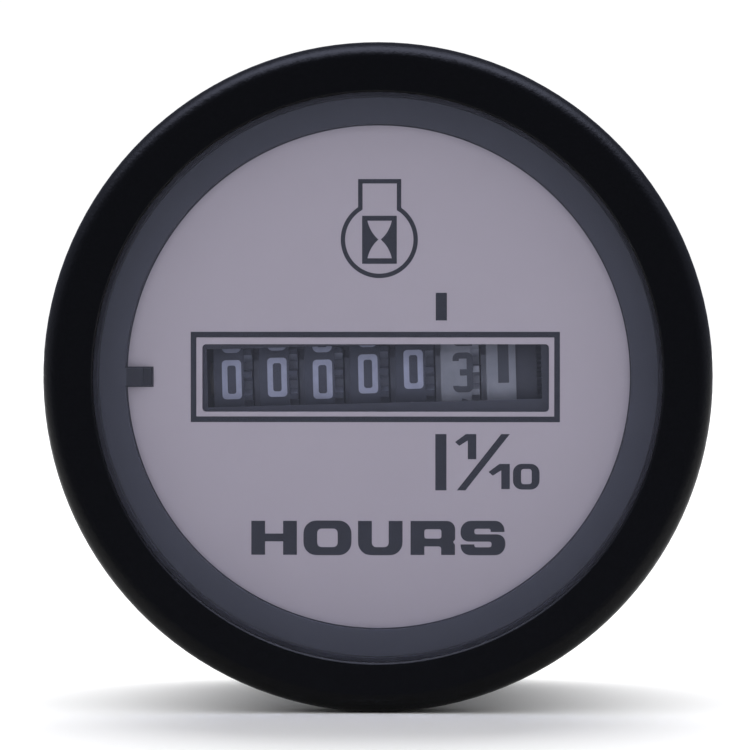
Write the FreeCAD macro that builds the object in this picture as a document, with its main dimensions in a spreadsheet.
import FreeCAD, Part
import math
import os
import Sketcher

# A round electric hour meter for a 52 mm panel hole.
# Frame: +X to the right as the dial is read, +Y back into the panel, +Z up.
# The origin is on the barrel's axis, where the bezel's back face meets the panel gasket.
# The counting movement leans by a small angle in its case, so its pieces share one Placement.

doc = FreeCAD.newDocument("hour_meter")
sheet = doc.addObject("Spreadsheet::Sheet", "Sizes")

SIZES = {
    # case, bezel and what they clamp
    "bezel_radius": 30.0,
    "bezel_wall": 0.8,
    "bezel_front": -6.2,
    "bezel_inner_front": -5.6,
    "bezel_opening": 25.5,
    "bezel_round": 1.4,
    "bezel_inner_round": 0.25,
    "lip_radius": 27.4,
    "flange_radius": 29.0,
    "flange_back": -0.6,
    "flange_front": -2.4,
    "seal_front": -3.2,
    "lens_front": -5.0,
    "lens_edge_bevel": 0.3,
    "land_radius": 26.0,
    "land_end": 5.0,
    "barrel_radius": 25.4,
    "dial_pocket_radius": 25.25,
    "barrel_bore": 24.2,
    "case_end": 41.5,
    "back_wall": 1.5,
    "case_chamfer": 1.0,
    "gasket_inner": 27.0,
    "gasket_outer": 29.6,
    "gasket_depth": 0.8,
    "panel_depth": 3.0,
    # dial and the ring that holds it
    "dial_radius": 24.6,
    "dial_front": -1.4,
    "window_width": 31.3,
    "window_height": 6.1,
    "window_centre": -0.27,
    "window_lift": -0.11,
    "window_round": 0.35,
    "notch_height": 1.56,
    "notch_depth_radius": 20.45,
    "ring_inner": 22.8,
    "ring_outer": 25.15,
    "tab_radius": 21.2,
    "tongue_radius": 20.5,
    "tongue_wall": 0.4,
    # mask behind the dial
    "mask_front": -0.5,
    "mask_back": 0.1,
    "mask_half_width": 18.0,
    "mask_half_height": 8.5,
    "mask_opening_width": 30.2,
    "mask_opening_height": 5.25,
    "mask_opening_centre": -0.4,
    "mask_opening_lift": 0.24,
    "mask_lug_end": 4.0,
    # counter frame
    "plate_left": -16.4,
    "plate_right": 17.4,
    "plate_wall": 0.8,
    "plate_front": 1.0,
    "web_front": 31.0,
    "plate_half_height": 9.0,
    "ear_half_width": 6.0,
    "ear_reach": 17.4,
    # number wheels
    "shaft_depth": 7.2,
    "shaft_radius": 0.75,
    "wheel_bore": 0.8,
    "wheel_radius": 6.8,
    "wheel_pitch": 4.12,
    "first_wheel_left": -14.985,
    "drum_width": 2.73,
    "rim_width": 0.75,
    "hub_radius": 2.0,
    "rim_inner": 5.0,
    "wheel_web": 1.0,
    "lock_radius": 5.6,
    "lock_width": 0.5,
    "lock_notch_radius": 4.9,
    "last_drum_width": 2.67,
    # carry teeth on the wheels and the small transfer pinions
    "carry_teeth": 20.0,
    "pinion_teeth": 8.0,
    "carry_module": 0.62,
    "carry_addendum": 0.5,
    "carry_dedendum": 0.62,
    "carry_taper": 0.4,
    "pinion_addendum": 0.45,
    "pinion_taper": 0.25,
    "pinion_length": 1.25,
    "pinion_short_tooth": 0.72,
    "pinion_side_gap": 0.07,
    "pinion_bore": 0.54,
    "pinion_shaft_radius": 0.5,
    "pinion_angle": -40.0,
    # reduction train
    "gear_addendum": 0.8,
    "gear_dedendum": 1.0,
    "gear_taper": 0.35,
    "leaf_addendum": 0.7,
    "leaf_taper": 0.25,
    "tooth_gap_share": 0.31,
    "drive_teeth": 48.0,
    "drive_module": 0.25,
    "drive_collar_radius": 6.6,
    "drive_collar_width": 1.9,
    "drive_end": 15.1,
    "third_leaf_x": 14.37,
    "second_wheel_x": 12.5,
    "second_wheel_end": 13.3,
    "rotor_leaf_x": 12.4,
    "rotor_leaf_end": 13.4,
    "fine_x": 15.3,
    "fine_end": 16.3,
    "third_teeth": 48.0,
    "fine_module": 0.2,
    "second_teeth": 40.0,
    "third_angle": 20.0,
    "second_angle": 10.0,
    "rotor_angle": -45.0,
    "third_pin_radius": 0.4,
    "second_pin_radius": 0.3,
    "rotor_shaft_radius": 0.25,
    "running_gap": 0.03,
    # motor
    "motor_plate_x": 8.2,
    "motor_plate_wall": 0.8,
    "motor_plate_front": 17.2,
    "motor_plate_half_height": 7.2,
    "magnet_radius": 1.8,
    "stator_x": 10.2,
    "stator_wall": 1.0,
    "stator_front": 20.2,
    "stator_hole": 2.2,
    "core_y": 28.3,
    "arm_inner": 4.9,
    "arm_outer": 6.9,
    "winding_radius": 2.4,
    "winding_half": 4.2,
    "bobbin_radius": 1.7,
    "motor_screw_radius": 0.6,
    # circuit board
    "board_front": 33.4,
    "board_back": 34.6,
    "board_half_width": 18.0,
    "board_half_height": 9.5,
    "pillar_x": 14.0,
    "pillar_z": 6.0,
    # terminals, studs and clamp
    "terminal_x": 10.0,
    "blade_width": 6.3,
    "blade_wall": 0.8,
    "blade_end": 50.5,
    "stud_z": 14.0,
    "stud_radius": 2.0,
    "stud_end": 57.0,
    "stud_clearance": 0.15,
    "nut_flats": 7.0,
    "nut_height": 3.2,
    "washer_radius": 4.5,
    "washer_wall": 0.8,
    "bracket_width": 13.0,
    "bracket_wall": 1.5,
    "bracket_leg": 27.6,
    "bracket_web": 47.0,
    "inner_bend": 1.5,
    "spring_washer": 1.0,
    # lean of the movement in the case, degrees anticlockwise as the dial is read
    "movement_lean": 1.5,
}

for row, (alias, number) in enumerate(SIZES.items(), start=1):
    sheet.set(f"A{row}", alias.replace("_", " "))
    sheet.set(f"B{row}", str(number))
    sheet.setAlias(f"B{row}", alias)
doc.recompute()

NODES = []


# ---------------------------------------------------------------- expressions

def full(text):
    """An expression in the sheet's terms: every word that is an alias is looked up in Sizes."""
    words = []
    word = ""
    for letter in str(text) + " ":
        if letter.isalnum() or letter in "_.":
            word += letter
            continue
        words.append(f"Sizes.{word}" if word in SIZES else word)
        words.append(letter)
        word = ""
    return "".join(words).strip()


def value(text):
    """The number that an expression gives."""
    return float(sheet.evalExpression(full(text)))


def bind(obj, prop, text):
    obj.setExpression(prop, full(text))


def polar(base, radius, angle):
    """A point in the Y-Z plane at a radius and an angle from another point, as two expressions."""
    y = f"({base[0]}) + ({radius}) * cos(({angle}) * 1 deg)"
    z = f"({base[1]}) + ({radius}) * sin(({angle}) * 1 deg)"
    return y, z


# ---------------------------------------------------------------- where pieces go

PLACES = {}


def at(obj, x, y, z, turn=None):
    """Put a piece at three expressions, turned first if it lies along another axis."""
    if turn:
        obj.Placement = FreeCAD.Placement(FreeCAD.Vector(), turn)
    PLACES[obj.Name] = (x, y, z)
    for prop, text in (("x", x), ("y", y), ("z", z)):
        bind(obj, f"Placement.Base.{prop}", text)
    return obj


def keep(obj, label, leans=False):
    """Name a finished piece, and lean it about the Y axis with the movement where it belongs to that."""
    obj.Label = label
    if leans:
        x, y, z = PLACES.get(obj.Name, ("0", "0", "0"))
        lean = "movement_lean * 1 deg"
        turn = FreeCAD.Rotation(FreeCAD.Vector(0, 1, 0), -value("movement_lean"))
        obj.Placement = FreeCAD.Placement(FreeCAD.Vector(), turn * obj.Placement.Rotation)
        at(obj, f"({x}) * cos({lean}) - ({z}) * sin({lean})", y,
           f"({x}) * sin({lean}) + ({z}) * cos({lean})")
    NODES.append(obj)
    return obj


# ---------------------------------------------------------------- solids from Part

ALONG = {
    "X": FreeCAD.Rotation(FreeCAD.Vector(0, 1, 0), 90),
    "Y": FreeCAD.Rotation(FreeCAD.Vector(1, 0, 0), -90),
    "Z": FreeCAD.Rotation(),
}


def box(x0, x1, y0, y1, z0, z1):
    """A block between two corners."""
    obj = doc.addObject("Part::Box", "block")
    bind(obj, "Length", f"({x1}) - ({x0})")
    bind(obj, "Width", f"({y1}) - ({y0})")
    bind(obj, "Height", f"({z1}) - ({z0})")
    return at(obj, x0, y0, z0)


def rod(axis, start, end, radius, a, b):
    """A round bar along X, Y or Z from start to end. a and b are its other two coordinates."""
    obj = doc.addObject("Part::Cylinder", "rod")
    bind(obj, "Radius", radius)
    bind(obj, "Height", f"({end}) - ({start})")
    x, y, z = {"X": (start, a, b), "Y": (a, start, b), "Z": (a, b, start)}[axis]
    return at(obj, x, y, z, ALONG[axis])


def joined(*pieces):
    if len(pieces) == 1:
        return pieces[0]
    obj = doc.addObject("Part::MultiFuse", "joined")
    obj.Shapes = list(pieces)
    obj.Refine = True
    return obj


def cut(base, *tools):
    obj = doc.addObject("Part::Cut", "cut")
    obj.Base = base
    obj.Tool = joined(*tools)
    return obj


def group(*pieces):
    """Like pieces kept as separate solids in one node."""
    obj = doc.addObject("Part::Compound", "group")
    obj.Links = list(pieces)
    return obj


def ring(axis, start, end, inner, outer, a, b):
    return cut(rod(axis, start, end, outer, a, b), rod(axis, start, end, inner, a, b))


# ---------------------------------------------------------------- bodies from sketches

def new_sketch(body, role, name, offset="0", turn=0.0):
    """A sketch on one of the body's own origin planes, moved along that plane's normal."""
    obj = body.newObject("Sketcher::SketchObject", name)
    plane = next(p for p in body.Origin.OriginFeatures if p.Role == role)
    obj.AttachmentSupport = [(plane, "")]
    obj.MapMode = "FlatFace"
    spin = FreeCAD.Rotation(FreeCAD.Vector(0, 0, 1), turn)
    obj.AttachmentOffset = FreeCAD.Placement(FreeCAD.Vector(0, 0, value(offset)), spin)
    bind(obj, "AttachmentOffset.Base.z", offset)
    return obj


def pin_point(obj, geometry, point, x, y):
    for kind, text in (("DistanceX", x), ("DistanceY", y)):
        rule = Sketcher.Constraint(kind, -1, 1, geometry, point, value(text))
        bind(obj, f"Constraints[{obj.addConstraint(rule)}]", text)


def outline(obj, points):
    """A closed outline of straight lines, with each corner held by two expressions."""
    here = [FreeCAD.Vector(value(x), value(y), 0) for x, y in points]
    first = obj.GeometryCount
    for start, end in zip(here, here[1:] + here[:1]):
        obj.addGeometry(Part.LineSegment(start, end))
    last = first + len(here) - 1
    for index in range(first, last + 1):
        before = index - 1 if index > first else last
        obj.addConstraint(Sketcher.Constraint("Coincident", before, 2, index, 1))
    for index, (x, y) in enumerate(points, start=first):
        pin_point(obj, index, 1, x, y)


def circle(obj, x, y, radius):
    centre = FreeCAD.Vector(value(x), value(y), 0)
    index = obj.addGeometry(Part.Circle(centre, FreeCAD.Vector(0, 0, 1), value(radius)))
    pin_point(obj, index, 3, x, y)
    size = obj.addConstraint(Sketcher.Constraint("Radius", index, value(radius)))
    bind(obj, f"Constraints[{size}]", radius)


def feature(body, kind, name, sketch, **settings):
    obj = body.newObject(f"PartDesign::{kind}", name)
    obj.Profile = sketch
    for prop, setting in settings.items():
        setattr(obj, prop, setting)
    sketch.Visibility = False
    return obj


def new_body(name):
    return doc.addObject("PartDesign::Body", name)


def turned(name, axis, points):
    """A solid of revolution about X or Y. Points are (along X, radius) or (radius, along Y)."""
    body = new_body(name)
    profile = new_sketch(body, "XY_Plane", f"{name}_profile")
    outline(profile, points)
    line = {"X": "H_Axis", "Y": "V_Axis"}[axis]
    feature(body, "Revolution", f"{name}_turn", profile, ReferenceAxis=(profile, [line]), Angle=360.0)
    return body


def pressed(name, role, start, depth, outlines=(), circles=(), reverse=False):
    """A flat piece: its outlines and holes in one sketch, padded to its thickness."""
    body = new_body(name)
    shape = new_sketch(body, role, f"{name}_outline", start)
    for points in outlines:
        outline(shape, points)
    for x, y, radius in circles:
        circle(shape, x, y, radius)
    pad = feature(body, "Pad", f"{name}_pad", shape, Reversed=reverse)
    bind(pad, "Length", depth)
    return body


def cut_round(body, name, start, depth, points, count, phase, span=360.0):
    """Cut one gap towards +X, and repeat it about the X axis."""
    gap = new_sketch(body, "YZ_Plane", f"{name}_gap", start, phase)
    outline(gap, points)
    pocket = feature(body, "Pocket", f"{name}_cut", gap, Reversed=True)
    bind(pocket, "Length", depth)
    repeat = body.newObject("PartDesign::PolarPattern", f"{name}_round")
    repeat.Originals = [pocket]
    repeat.Axis = (gap, ["N_Axis"])
    repeat.Angle = span
    repeat.Occurrences = count
    body.Tip = repeat
    return repeat


def gap_points(pitch_radius, half_gap, addendum, dedendum, taper):
    """A gap between two teeth: widest at the tip circle and narrowest at the root."""
    proud = 0.1
    tip = f"({pitch_radius}) + ({addendum}) + {proud}"
    root = f"({pitch_radius}) - ({dedendum})"
    wide = f"({half_gap}) + ({taper}) * (({addendum}) + {proud})"
    narrow = f"({half_gap}) - ({taper}) * ({dedendum})"
    return [(root, f"-({narrow})"), (tip, f"-({wide})"), (tip, wide), (root, narrow)]


def add_teeth(body, name, start, end, teeth, module, is_leaf, phase):
    """A toothed disc in a body: a disc to the tip circle, then its gaps. phase turns a gap's centre."""
    addendum = "leaf_addendum" if is_leaf else "gear_addendum"
    taper = "leaf_taper" if is_leaf else "gear_taper"
    pitch = f"({teeth}) * {module} / 2"
    disc = new_sketch(body, "YZ_Plane", f"{name}_disc", start)
    circle(disc, "0", "0", f"{pitch} + {addendum} * {module}")
    pad = feature(body, "Pad", f"{name}_pad", disc)
    bind(pad, "Length", f"({end}) - ({start})")
    points = gap_points(
        pitch, f"tooth_gap_share * {math.pi:.6f} * {module}", f"{addendum} * {module}",
        f"gear_dedendum * {module}", taper,
    )
    cut_round(body, name, start, f"({end}) - ({start})", points, int(value(teeth)), phase)


def add_disc(body, name, start, end, radius):
    disc = new_sketch(body, "YZ_Plane", f"{name}_disc", start)
    circle(disc, "0", "0", radius)
    pad = feature(body, "Pad", f"{name}_pad", disc)
    bind(pad, "Length", f"({end}) - ({start})")


def bore_along_x(body, name, start, end, radius):
    hole = new_sketch(body, "YZ_Plane", f"{name}_bore_outline", start)
    circle(hole, "0", "0", radius)
    pocket = feature(body, "Pocket", f"{name}_bore", hole, Reversed=True)
    bind(pocket, "Length", f"({end}) - ({start})")


def round_edges(body, name, chosen, radius):
    """A fillet on the edges of the body's last shape that a test picks."""
    last = body.Tip
    edges = [f"Edge{i}" for i, edge in enumerate(last.Shape.Edges, start=1) if chosen(edge)]
    obj = body.newObject("PartDesign::Fillet", name)
    obj.Base = (last, edges)
    bind(obj, "Radius", radius)
    body.Tip = obj
    doc.recompute()


def on_rim(edge, radius, y):
    """True for the circle about the Y axis with that radius, at that depth."""
    curve = edge.Curve
    if not isinstance(curve, Part.Circle):
        return False
    return abs(curve.Radius - value(radius)) < 1e-6 and abs(curve.Center.y - value(y)) < 1e-6


def on_fold(edge, y, reach):
    """True for a straight edge along X at that depth, that far above or below the axis."""
    middle = edge.CenterOfMass
    return (abs(middle.x) < 1e-6 and abs(middle.y - value(y)) < 1e-6
            and abs(abs(middle.z) - value(reach)) < 1e-6)


# ================================================================ case and glass

bezel = turned("bezel_shell", "Y", [
    ("bezel_opening", "bezel_inner_front"),
    ("bezel_radius", "bezel_front"),
    ("bezel_radius", "0"),
    ("lip_radius", "0"),
    ("lip_radius", "flange_back"),
    ("bezel_radius - bezel_wall", "flange_back"),
    ("bezel_radius - bezel_wall", "lens_front"),
    ("bezel_opening", "lens_front"),
])
doc.recompute()
round_edges(bezel, "outer_round", lambda edge: on_rim(edge, "bezel_radius", "bezel_front"), "bezel_round")
round_edges(bezel, "inner_round", lambda edge: on_rim(edge, "bezel_opening", "bezel_inner_front"),
            "bezel_inner_round")
keep(bezel, "bezel")

lens = turned("lens_disc", "Y", [
    ("0", "lens_front"),
    ("flange_radius - lens_edge_bevel", "lens_front"),
    ("flange_radius", "lens_front + lens_edge_bevel"),
    ("flange_radius", "seal_front"),
    ("0", "seal_front"),
])
keep(lens, "lens")

keep(ring("Y", "seal_front", "flange_front", "dial_pocket_radius", "flange_radius", "0", "0"), "lens_seal")

case_cup = turned("case_cup", "Y", [
    ("dial_pocket_radius", "flange_front"),
    ("flange_radius", "flange_front"),
    ("flange_radius", "flange_back"),
    ("land_radius", "flange_back"),
    ("land_radius", "land_end"),
    ("barrel_radius", "land_end + 0.4"),
    ("barrel_radius", "case_end - case_chamfer"),
    ("barrel_radius - case_chamfer", "case_end"),
    ("0", "case_end"),
    ("0", "case_end - back_wall"),
    ("barrel_bore", "case_end - back_wall"),
    ("barrel_bore", "flange_back"),
    ("dial_pocket_radius", "flange_back"),
])
case_holes = [
    rod("Y", "case_end - back_wall - 1", "case_end + 1", "stud_radius + stud_clearance", "0", side)
    for side in ("stud_z", "-stud_z")
]
blade_slots = [
    box(f"{side} * terminal_x - blade_wall / 2", f"{side} * terminal_x + blade_wall / 2",
        "case_end - back_wall - 1", "case_end + 1", "-blade_width / 2", "blade_width / 2")
    for side in (-1, 1)
]
keep(cut(case_cup, *case_holes, *blade_slots), "case")

keep(ring("Y", "0", "gasket_depth", "gasket_inner", "gasket_outer", "0", "0"), "panel_gasket")

# ================================================================ dial

dial_disc = rod("Y", "dial_front", "flange_back", "dial_radius", "0", "0")
window_sides = ("window_centre - window_width / 2", "window_centre + window_width / 2")
window_ends = ("window_lift - window_height / 2", "window_lift + window_height / 2")
window_run = ("dial_front - 1", "flange_back + 1")
window_parts = [
    box(window_sides[0] + " + window_round", window_sides[1] + " - window_round", *window_run, *window_ends),
    box(*window_sides, *window_run, window_ends[0] + " + window_round", window_ends[1] + " - window_round"),
]
for x_in in (window_sides[0] + " + window_round", window_sides[1] + " - window_round"):
    for z_in in (window_ends[0] + " + window_round", window_ends[1] + " - window_round"):
        window_parts.append(rod("Y", *window_run, "window_round", x_in, z_in))
window = joined(*window_parts)
notch = box("-dial_radius - 1", "-notch_depth_radius", "dial_front - 1", "flange_back + 1",
            "-notch_height / 2", "notch_height / 2")
keep(cut(dial_disc, window, notch), "dial")

tab = box("-ring_outer + 0.5", "-tab_radius", "flange_front", "dial_front",
          "-notch_height / 2", "notch_height / 2")
tongue = box("-tab_radius - 0.1", "-tongue_radius", "dial_front - tongue_wall", "dial_front",
             "-notch_height / 2", "notch_height / 2")
spacer = ring("Y", "flange_front", "dial_front", "ring_inner", "ring_outer", "0", "0")
keep(joined(spacer, tab, tongue), "spacer_ring")

# ================================================================ counter frame and mask

mask_plate = box("-mask_half_width", "mask_half_width", "mask_front", "mask_back",
                 "-mask_half_height", "mask_half_height")
mask_opening = box("mask_opening_centre - mask_opening_width / 2",
                   "mask_opening_centre + mask_opening_width / 2",
                   "mask_front - 1", "mask_back + 1",
                   "mask_opening_lift - mask_opening_height / 2",
                   "mask_opening_lift + mask_opening_height / 2")
lug_left = box("plate_left - 0.6", "plate_left", "mask_front", "mask_lug_end", "-4", "4")
lug_right = box("plate_right", "plate_right + 0.6", "mask_front", "mask_lug_end", "-4", "4")
keep(cut(joined(mask_plate, lug_left, lug_right), mask_opening), "counter_mask", leans=True)

WHEEL_AXIS = ("shaft_depth", "0")
CARRY_DISTANCE = "(carry_teeth + pinion_teeth) * carry_module / 2"
PINION_AXIS = polar(WHEEL_AXIS, CARRY_DISTANCE, "pinion_angle")
THIRD_AXIS = polar(WHEEL_AXIS, "(drive_teeth + pinion_teeth) * drive_module / 2", "third_angle")
SECOND_AXIS = polar(THIRD_AXIS, "(third_teeth + pinion_teeth) * fine_module / 2", "second_angle")
ROTOR_AXIS = polar(SECOND_AXIS, "(second_teeth + pinion_teeth) * fine_module / 2", "rotor_angle")

left_plate = box("plate_left", "plate_left + plate_wall", "plate_front", "web_front + plate_wall",
                 "-plate_half_height", "plate_half_height")
right_plate = box("plate_right - plate_wall", "plate_right", "plate_front", "web_front + plate_wall",
                  "-plate_half_height", "plate_half_height")
web = box("plate_left", "plate_right", "web_front", "web_front + plate_wall",
          "-plate_half_height", "plate_half_height")
ears = box("-ear_half_width", "ear_half_width", "web_front", "web_front + plate_wall",
           "-ear_reach", "ear_reach")
frame_holes = [
    rod("X", "plate_left - 1", "plate_right + 1", "shaft_radius", *WHEEL_AXIS),
    rod("X", "plate_left - 1", "plate_right + 1", "pinion_shaft_radius", *PINION_AXIS),
    rod("X", "plate_right - 2", "plate_right + 1", "third_pin_radius", *THIRD_AXIS),
    rod("X", "plate_right - 2", "plate_right + 1", "second_pin_radius", *SECOND_AXIS),
    rod("X", "plate_right - 2", "plate_right + 1", "rotor_shaft_radius + running_gap", *ROTOR_AXIS),
]
for side in ("stud_z", "-stud_z"):
    frame_holes.append(box("-stud_radius - 0.7", "stud_radius + 0.7", "web_front - 1", "web_front + 2",
                           f"{side} - stud_radius - 0.1", f"{side} + stud_radius + 0.1"))
for side in (-1, 1):
    frame_holes.append(rod("Y", "web_front - 1", "web_front + 2", "0.9",
                           f"{side} * pillar_x", f"-({side}) * pillar_z"))
    frame_holes.append(rod("Y", "web_front - 1", "web_front + 2", "0.7",
                           "motor_plate_x - 1.7", f"{side} * 5"))
keep(cut(joined(left_plate, right_plate, web, ears), *frame_holes), "counter_frame", leans=True)

# ================================================================ shafts, pins and spacers

keep(rod("X", "plate_left - 1", "plate_right + 1", "shaft_radius", *WHEEL_AXIS), "wheel_shaft", leans=True)
keep(rod("X", "plate_left - 0.5", "plate_right + 0.5", "pinion_shaft_radius", *PINION_AXIS),
     "pinion_shaft", leans=True)
keep(rod("X", "third_leaf_x", "plate_right + 0.3", "third_pin_radius", *THIRD_AXIS), "third_gear_pin",
     leans=True)
keep(rod("X", "motor_plate_x", "plate_right + 0.3", "second_pin_radius", *SECOND_AXIS),
     "second_gear_pin", leans=True)
keep(group(
    ring("X", "plate_left - 0.6", "plate_left", "shaft_radius", "1.8", *WHEEL_AXIS),
    ring("X", "plate_right", "plate_right + 0.6", "shaft_radius", "1.8", *WHEEL_AXIS),
), "shaft_clips", leans=True)
keep(group(
    ring("X", "plate_left + plate_wall", "first_wheel_left - 0.06", "shaft_radius", "1.6", *WHEEL_AXIS),
    ring("X", "drive_end + 0.06", "plate_right - plate_wall", "shaft_radius", "1.6", *WHEEL_AXIS),
), "wheel_spacers", leans=True)


# ================================================================ number wheels

def wheel_profile(has_lock, has_rim):
    """Half section of a wheel: lock disc at its left, drum, and the carry rim at its right."""
    width = "drum_width + rim_width" if has_rim else "last_drum_width"
    left = "-lock_width" if has_lock else "0"
    points = [(left, "wheel_bore")]
    if has_lock:
        points += [(left, "lock_radius"), ("0", "lock_radius")]
    points.append(("0", "wheel_radius"))
    if has_rim:
        tip = "carry_teeth * carry_module / 2 + carry_addendum"
        points += [("drum_width", "wheel_radius"), ("drum_width", tip), (width, tip)]
        points += [(width, "rim_inner"), ("wheel_web", "rim_inner"), ("wheel_web", "hub_radius")]
        points.append((width, "hub_radius"))
    else:
        points.append((width, "wheel_radius"))
    points.append((width, "wheel_bore"))
    return points


def number_wheel(label, place, has_lock=True, has_rim=True):
    body = turned(label + "_wheel", "X", wheel_profile(has_lock, has_rim))
    half_gap = f"tooth_gap_share * {math.pi:.6f} * carry_module"
    carry = gap_points("carry_teeth * carry_module / 2", half_gap, "carry_addendum",
                       "carry_dedendum", "carry_taper")
    teeth = int(value("carry_teeth"))
    if has_rim:
        phase = value("pinion_angle") - 180 / teeth
        cut_round(body, label + "_carry", "drum_width", "rim_width", carry, teeth, phase)
    if has_lock:
        notches = [("lock_notch_radius", "-0.5"), ("lock_radius + 0.2", "-0.62"),
                   ("lock_radius + 0.2", "0.62"), ("lock_notch_radius", "0.5")]
        cut_round(body, label + "_lock", "-lock_width", "lock_width", notches, 3, 120.0, 36.0)
    at(body, f"first_wheel_left + {place} * wheel_pitch", *WHEEL_AXIS)
    return keep(body, label + "_wheel", leans=True)


WHEELS = ["ten_thousands", "thousands", "hundreds", "tens", "units", "tenths"]
for place, label in enumerate(WHEELS):
    number_wheel(label, place, has_lock=place > 0)
number_wheel("hundredths", len(WHEELS), has_rim=False)

drive = new_body("drive_gear_body")
collar_end = "drive_collar_width"
drive_width = "drive_end - first_wheel_left - 6 * wheel_pitch - last_drum_width"
add_disc(drive, "drive_collar", "0", collar_end, "drive_collar_radius")
add_teeth(drive, "drive", collar_end, drive_width, "drive_teeth", "drive_module", False,
          value("third_angle") - 180 / value("drive_teeth"))
bore_along_x(drive, "drive", "0", drive_width, "wheel_bore")
at(drive, f"drive_end - ({drive_width})", *WHEEL_AXIS)
keep(drive, "drive_gear", leans=True)


# ================================================================ transfer pinions

def transfer_pinion(number):
    """Eight teeth, every other one cut short where the lock disc of the next wheel runs."""
    label = f"transfer_pinion_{number}"
    pitch = "pinion_teeth * carry_module / 2"
    tip = f"{pitch} + pinion_addendum"
    body = turned(label + "_blank", "X", [
        ("0", "pinion_bore"), ("0", tip), ("pinion_length", tip), ("pinion_length", "pinion_bore"),
    ])
    half_gap = f"tooth_gap_share * {math.pi:.6f} * carry_module"
    gaps = gap_points(pitch, half_gap, "pinion_addendum", "carry_dedendum", "pinion_taper")
    teeth = int(value("pinion_teeth"))
    cut_round(body, label, "0", "pinion_length", gaps, teeth, value("pinion_angle") + 180)
    root = f"{pitch} - carry_dedendum"
    wedge = [(root, "-0.7"), (f"{tip} + 0.1", "-1.2"), (f"{tip} + 0.1", "1.2"), (root, "0.7")]
    cut_round(body, label + "_short", "pinion_short_tooth", "pinion_length - pinion_short_tooth",
              wedge, teeth // 2, value("pinion_angle") + 180 / teeth)
    left = f"first_wheel_left + {number - 1} * wheel_pitch + drum_width + pinion_side_gap"
    at(body, left, *PINION_AXIS)
    return keep(body, label, leans=True)


for number in range(1, len(WHEELS) + 1):
    transfer_pinion(number)

# ================================================================ reduction gears

third = new_body("third_gear_body")
add_teeth(third, "third_leaf", "third_leaf_x", "drive_end", "pinion_teeth", "drive_module", True,
          value("third_angle") + 180)
add_disc(third, "third_hub", "drive_end", "fine_x", "0.85")
add_teeth(third, "third_wheel", "fine_x", "fine_end", "third_teeth", "fine_module", False,
          value("second_angle") - 180 / value("third_teeth"))
bore_along_x(third, "third", "third_leaf_x", "fine_end", "third_pin_radius + running_gap")
at(third, "0", *THIRD_AXIS)
keep(third, "third_gear", leans=True)

second = new_body("second_gear_body")
add_teeth(second, "second_wheel", "second_wheel_x", "second_wheel_end", "second_teeth", "fine_module", False,
          value("rotor_angle") - 180 / value("second_teeth"))
add_disc(second, "second_hub", "second_wheel_end", "fine_x", "0.58")
add_teeth(second, "second_leaf", "fine_x", "fine_end", "pinion_teeth", "fine_module", True,
          value("second_angle") + 180)
bore_along_x(second, "second", "second_wheel_x", "fine_end", "second_pin_radius + running_gap")
at(second, "0", *SECOND_AXIS)
keep(second, "second_gear", leans=True)

# ================================================================ stepping motor

rotor_leaf = new_body("rotor_leaf_body")
add_teeth(rotor_leaf, "rotor_leaf", "rotor_leaf_x", "rotor_leaf_end", "pinion_teeth", "fine_module", True,
          value("rotor_angle") + 180)
bore_along_x(rotor_leaf, "rotor_leaf", "rotor_leaf_x", "rotor_leaf_end", "rotor_shaft_radius")
at(rotor_leaf, "0", *ROTOR_AXIS)
keep(rotor_leaf, "rotor_pinion", leans=True)
keep(ring("X", "9.4", "12.2", "rotor_shaft_radius", "magnet_radius", *ROTOR_AXIS), "rotor_magnet",
     leans=True)
keep(rod("X", "motor_plate_x", "plate_right", "rotor_shaft_radius", *ROTOR_AXIS), "rotor_shaft",
     leans=True)

motor_wall = box("motor_plate_x", "motor_plate_x + motor_plate_wall", "motor_plate_front", "web_front",
                 "-motor_plate_half_height", "motor_plate_half_height")
motor_foot = box("motor_plate_x - 3.4", "motor_plate_x", "web_front - motor_plate_wall", "web_front",
                 "-motor_plate_half_height", "motor_plate_half_height")
plate_holes = [
    rod("X", "motor_plate_x - 1", "motor_plate_x + 2", "second_pin_radius", *SECOND_AXIS),
    rod("X", "motor_plate_x - 1", "motor_plate_x + 2", "rotor_shaft_radius + running_gap", *ROTOR_AXIS),
]
motor_screws = []
motor_spacers = []
plate_screws = []
screw_z = "(arm_inner + arm_outer) / 2"
for side in (-1, 1):
    here = ("core_y", f"{side} * {screw_z}")
    plate_holes.append(rod("X", "motor_plate_x - 1", "motor_plate_x + 2", "motor_screw_radius", *here))
    plate_holes.append(rod("Y", "web_front - 2", "web_front + 1", "0.7",
                           "motor_plate_x - 1.7", f"{side} * 5"))
    shank = rod("X", "motor_plate_x", "stator_x + 2 * stator_wall", "motor_screw_radius", *here)
    head = rod("X", "stator_x + 2 * stator_wall", "stator_x + 2 * stator_wall + 0.7", "1", *here)
    motor_screws.append(joined(shank, head))
    motor_spacers.append(ring("X", "motor_plate_x + motor_plate_wall", "stator_x", "motor_screw_radius",
                              "1", *here))
    foot_shank = rod("Y", "web_front - motor_plate_wall", "web_front + plate_wall", "0.7",
                     "motor_plate_x - 1.7", f"{side} * 5")
    foot_head = rod("Y", "web_front + plate_wall", "web_front + plate_wall + 0.8", "1.3",
                    "motor_plate_x - 1.7", f"{side} * 5")
    plate_screws.append(joined(foot_shank, foot_head))
keep(cut(joined(motor_wall, motor_foot), *plate_holes), "motor_plate", leans=True)
keep(group(*motor_screws), "motor_screws", leans=True)
keep(group(*motor_spacers), "motor_spacers", leans=True)
keep(group(*plate_screws), "plate_screws", leans=True)

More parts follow.
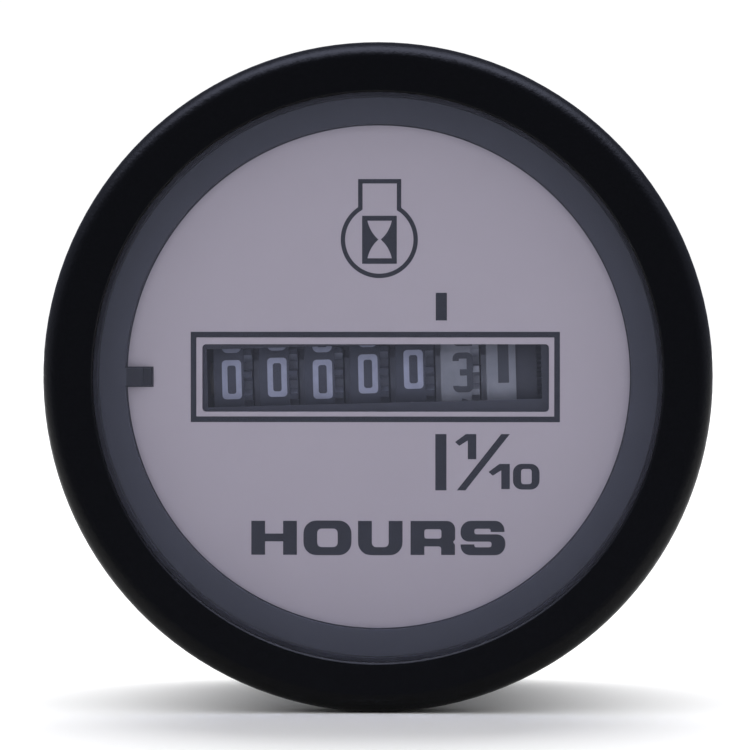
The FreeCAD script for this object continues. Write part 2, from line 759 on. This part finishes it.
stator_yoke = box("stator_x", "stator_x + stator_wall", "stator_front", "core_y - 2.9",
                  "-arm_outer", "arm_outer")
stator_arms = [
    box("stator_x", "stator_x + stator_wall", "core_y - 3", "core_y + 1.7", *ends)
    for ends in (("-arm_outer", "-arm_inner"), ("arm_inner", "arm_outer"))
]
stator_holes = [rod("X", "stator_x - 1", "stator_x + 2", "stator_hole", *ROTOR_AXIS)]
core_holes = []
for side in (-1, 1):
    here = ("core_y", f"{side} * {screw_z}")
    stator_holes.append(rod("X", "stator_x - 1", "stator_x + 2", "motor_screw_radius", *here))
    core_holes.append(rod("X", "stator_x", "stator_x + 3", "motor_screw_radius", *here))
keep(cut(joined(stator_yoke, *stator_arms), *stator_holes), "stator", leans=True)

core = box("stator_x + stator_wall", "stator_x + 2 * stator_wall", "core_y - 1", "core_y + 1",
           "-arm_outer", "arm_outer")
keep(cut(core, *core_holes), "coil_core", leans=True)
COIL_AXIS = ("stator_x + 1.5 * stator_wall", "core_y")
coil_slot = box("stator_x + stator_wall", "stator_x + 2 * stator_wall", "core_y - 1", "core_y + 1",
                "-arm_outer", "arm_outer")
bobbin = joined(
    rod("Z", "-winding_half - 0.5", "winding_half + 0.5", "bobbin_radius", *COIL_AXIS),
    rod("Z", "-winding_half - 0.5", "-winding_half", "winding_radius + 0.15", *COIL_AXIS),
    rod("Z", "winding_half", "winding_half + 0.5", "winding_radius + 0.15", *COIL_AXIS),
)
keep(cut(bobbin, coil_slot), "coil_bobbin", leans=True)
keep(ring("Z", "-winding_half", "winding_half", "bobbin_radius", "winding_radius", *COIL_AXIS),
     "coil_winding", leans=True)

# ================================================================ circuit board

board = box("-board_half_width", "board_half_width", "board_front", "board_back",
            "-board_half_height", "board_half_height")
board_holes = []
pillars = []
board_screws = []
for side in (-1, 1):
    here = (f"{side} * pillar_x", f"-({side}) * pillar_z")
    board_holes.append(rod("Y", "board_front - 1", "board_back + 1", "0.9", *here))
    board_holes.append(box(f"{side} * terminal_x - 0.9", f"{side} * terminal_x + 0.9",
                           "board_front - 1", "board_back + 1", "-1.8", "1.8"))
    pillars.append(ring("Y", "web_front + plate_wall", "board_front", "0.9", "2", *here))
    board_screws.append(joined(rod("Y", "web_front", "board_back", "0.9", *here),
                               rod("Y", "board_back", "board_back + 1.1", "1.8", *here)))
keep(cut(board, *board_holes), "circuit_board", leans=True)
keep(group(*pillars), "board_pillars", leans=True)
keep(group(*board_screws), "board_screws", leans=True)

keep(rod("X", "-7", "-1", "1.4", "board_back + 1.4", "6.2"), "quartz_crystal", leans=True)
chip_feet = [
    box(f"{x} - 0.25", f"{x} + 0.25", "board_back", "board_back + 0.6", "-3", "3")
    for x in (-1.9, -0.63, 0.63, 1.9)
]
chip_block = box("-2.6", "2.6", "board_back + 0.2", "board_back + 1.8", "-2", "2")
keep(joined(chip_block, *chip_feet), "driver_chip", leans=True)
keep(rod("Y", "board_back", "board_back + 4.8", "2.4", "-4", "-6"), "smoothing_capacitor", leans=True)
keep(group(*[rod("Z", "-8", "-4.4", "0.8", x, "board_back + 0.8") for x in ("3", "5.4")]),
     "resistors", leans=True)
keep(rod("X", "3", "7", "1.1", "board_back + 1.1", "6.4"), "supply_diode", leans=True)

# ================================================================ terminals and studs


def blade(side):
    """A flat push-on blade with a narrow tail for the board, a hole and a bevelled tip."""
    half = "blade_width / 2"
    points = [
        ("32.8", "-1.2"), ("36.4", "-1.2"), ("36.4", f"-{half}"), ("blade_end - 1.6", f"-{half}"),
        ("blade_end", "-1.6"), ("blade_end", "1.6"), ("blade_end - 1.6", half), ("36.4", half),
        ("36.4", "1.2"), ("32.8", "1.2"),
    ]
    start = f"{side} * terminal_x - blade_wall / 2"
    return pressed(f"blade_{'left' if side < 0 else 'right'}", "YZ_Plane", start, "blade_wall",
                   [points], [("blade_end - 3.4", "0", "0.9")])


keep(group(blade(-1), blade(1)), "blade_terminals")


def hex_nut(start, side):
    """A six-sided nut with its corners turned off at both faces."""
    prism = doc.addObject("Part::Prism", "hexagon")
    prism.Polygon = 6
    bind(prism, "Circumradius", "nut_flats / 2 / cos(30 deg)")
    bind(prism, "Height", "nut_height")
    at(prism, "0", start, side, ALONG["Y"])
    corner = "nut_flats / 2 / cos(30 deg) - 0.45"
    barrel = turned("nut_barrel", "Y", [
        ("0", "0"), (corner, "0"), (f"{corner} + 0.5", "0.3"), (f"{corner} + 0.5", "nut_height - 0.3"),
        (corner, "nut_height"), ("0", "nut_height"),
    ])
    at(barrel, "0", start, side)
    common = doc.addObject("Part::MultiCommon", "nut_blank")
    common.Shapes = [prism, barrel]
    bore = rod("Y", f"{start} - 1", f"{start} + nut_height + 1", "stud_radius + 0.05", "0", side)
    return cut(common, bore)


def split_ring(start, side):
    """A spring washer: a ring with a narrow split."""
    whole = ring("Y", start, f"{start} + spring_washer", "stud_radius + stud_clearance", "3.8", "0", side)
    split = box("0", "5", f"{start} - 1", f"{start} + 2", f"{side} - 0.4", f"{side} + 0.4")
    return cut(whole, split)


def stud(side):
    body = turned("stud_bar", "Y", [
        ("0", "web_front - 1.2"), ("3.3", "web_front - 1.2"), ("3.6", "web_front - 0.9"),
        ("3.6", "web_front"), ("stud_radius", "web_front"), ("stud_radius", "stud_end - 0.5"),
        ("stud_radius - 0.5", "stud_end"), ("0", "stud_end"),
    ])
    return at(body, "0", "0", side)


STUD_SIDES = ("stud_z", "-stud_z")
WASHER_END = "case_end + washer_wall"
CLAMP_SPRING = "bracket_web + bracket_wall"
CLAMP_NUT = f"{CLAMP_SPRING} + spring_washer"
keep(group(*[stud(side) for side in STUD_SIDES]), "studs")
keep(group(*[
    ring("Y", "web_front + plate_wall", "case_end - back_wall", "stud_radius", "3.5", "0", side)
    for side in STUD_SIDES
]), "stud_spacers")
keep(group(*[
    ring("Y", "case_end", WASHER_END, "stud_radius + stud_clearance", "washer_radius", "0", side)
    for side in STUD_SIDES
]), "case_washers")
keep(group(*[hex_nut(WASHER_END, side) for side in STUD_SIDES]), "case_nuts")

# ================================================================ clamp

foot = "gasket_depth + panel_depth"
web_back = "bracket_web + bracket_wall"
leg_out = "bracket_leg + bracket_wall"
strap = pressed("clamp_strap", "YZ_Plane", "-bracket_width / 2", "bracket_width", [[
    (foot, "bracket_leg"), (foot, leg_out), (web_back, leg_out), (web_back, f"-({leg_out})"),
    (foot, f"-({leg_out})"), (foot, "-bracket_leg"), ("bracket_web", "-bracket_leg"),
    ("bracket_web", "bracket_leg"),
]])
doc.recompute()


round_edges(strap, "inner_bend", lambda edge: on_fold(edge, "bracket_web", "bracket_leg"), "inner_bend")
round_edges(strap, "outer_bend", lambda edge: on_fold(edge, web_back, leg_out), "inner_bend + bracket_wall")
strap_holes = [
    rod("Y", "bracket_web - 1", f"{web_back} + 1", "stud_radius + stud_clearance", "0", side)
    for side in STUD_SIDES
]
keep(cut(strap, *strap_holes), "clamp_bracket")
keep(group(*[split_ring(CLAMP_SPRING, side) for side in STUD_SIDES]), "clamp_spring_washers")
keep(group(*[hex_nut(CLAMP_NUT, side) for side in STUD_SIDES]), "clamp_nuts")

# ================================================================ check and export

doc.recompute()
for obj in doc.Objects:
    faults = {"Invalid", "Error"} & set(obj.State)
    if faults:
        raise RuntimeError(f"{obj.Name} ({obj.Label}): {faults}")

os.makedirs("parts", exist_ok=True)
for obj in NODES:
    shape = obj.Shape
    if shape.isNull() or not shape.isValid() or not shape.Solids:
        raise RuntimeError(f"{obj.Label} has no valid solid")
    shape.exportStep(os.path.join("parts", obj.Label + ".step"))
    print(f"{obj.Label}: {len(shape.Solids)} solid(s), {shape.Volume:.2f} mm3")
print(f"{len(NODES)} nodes")
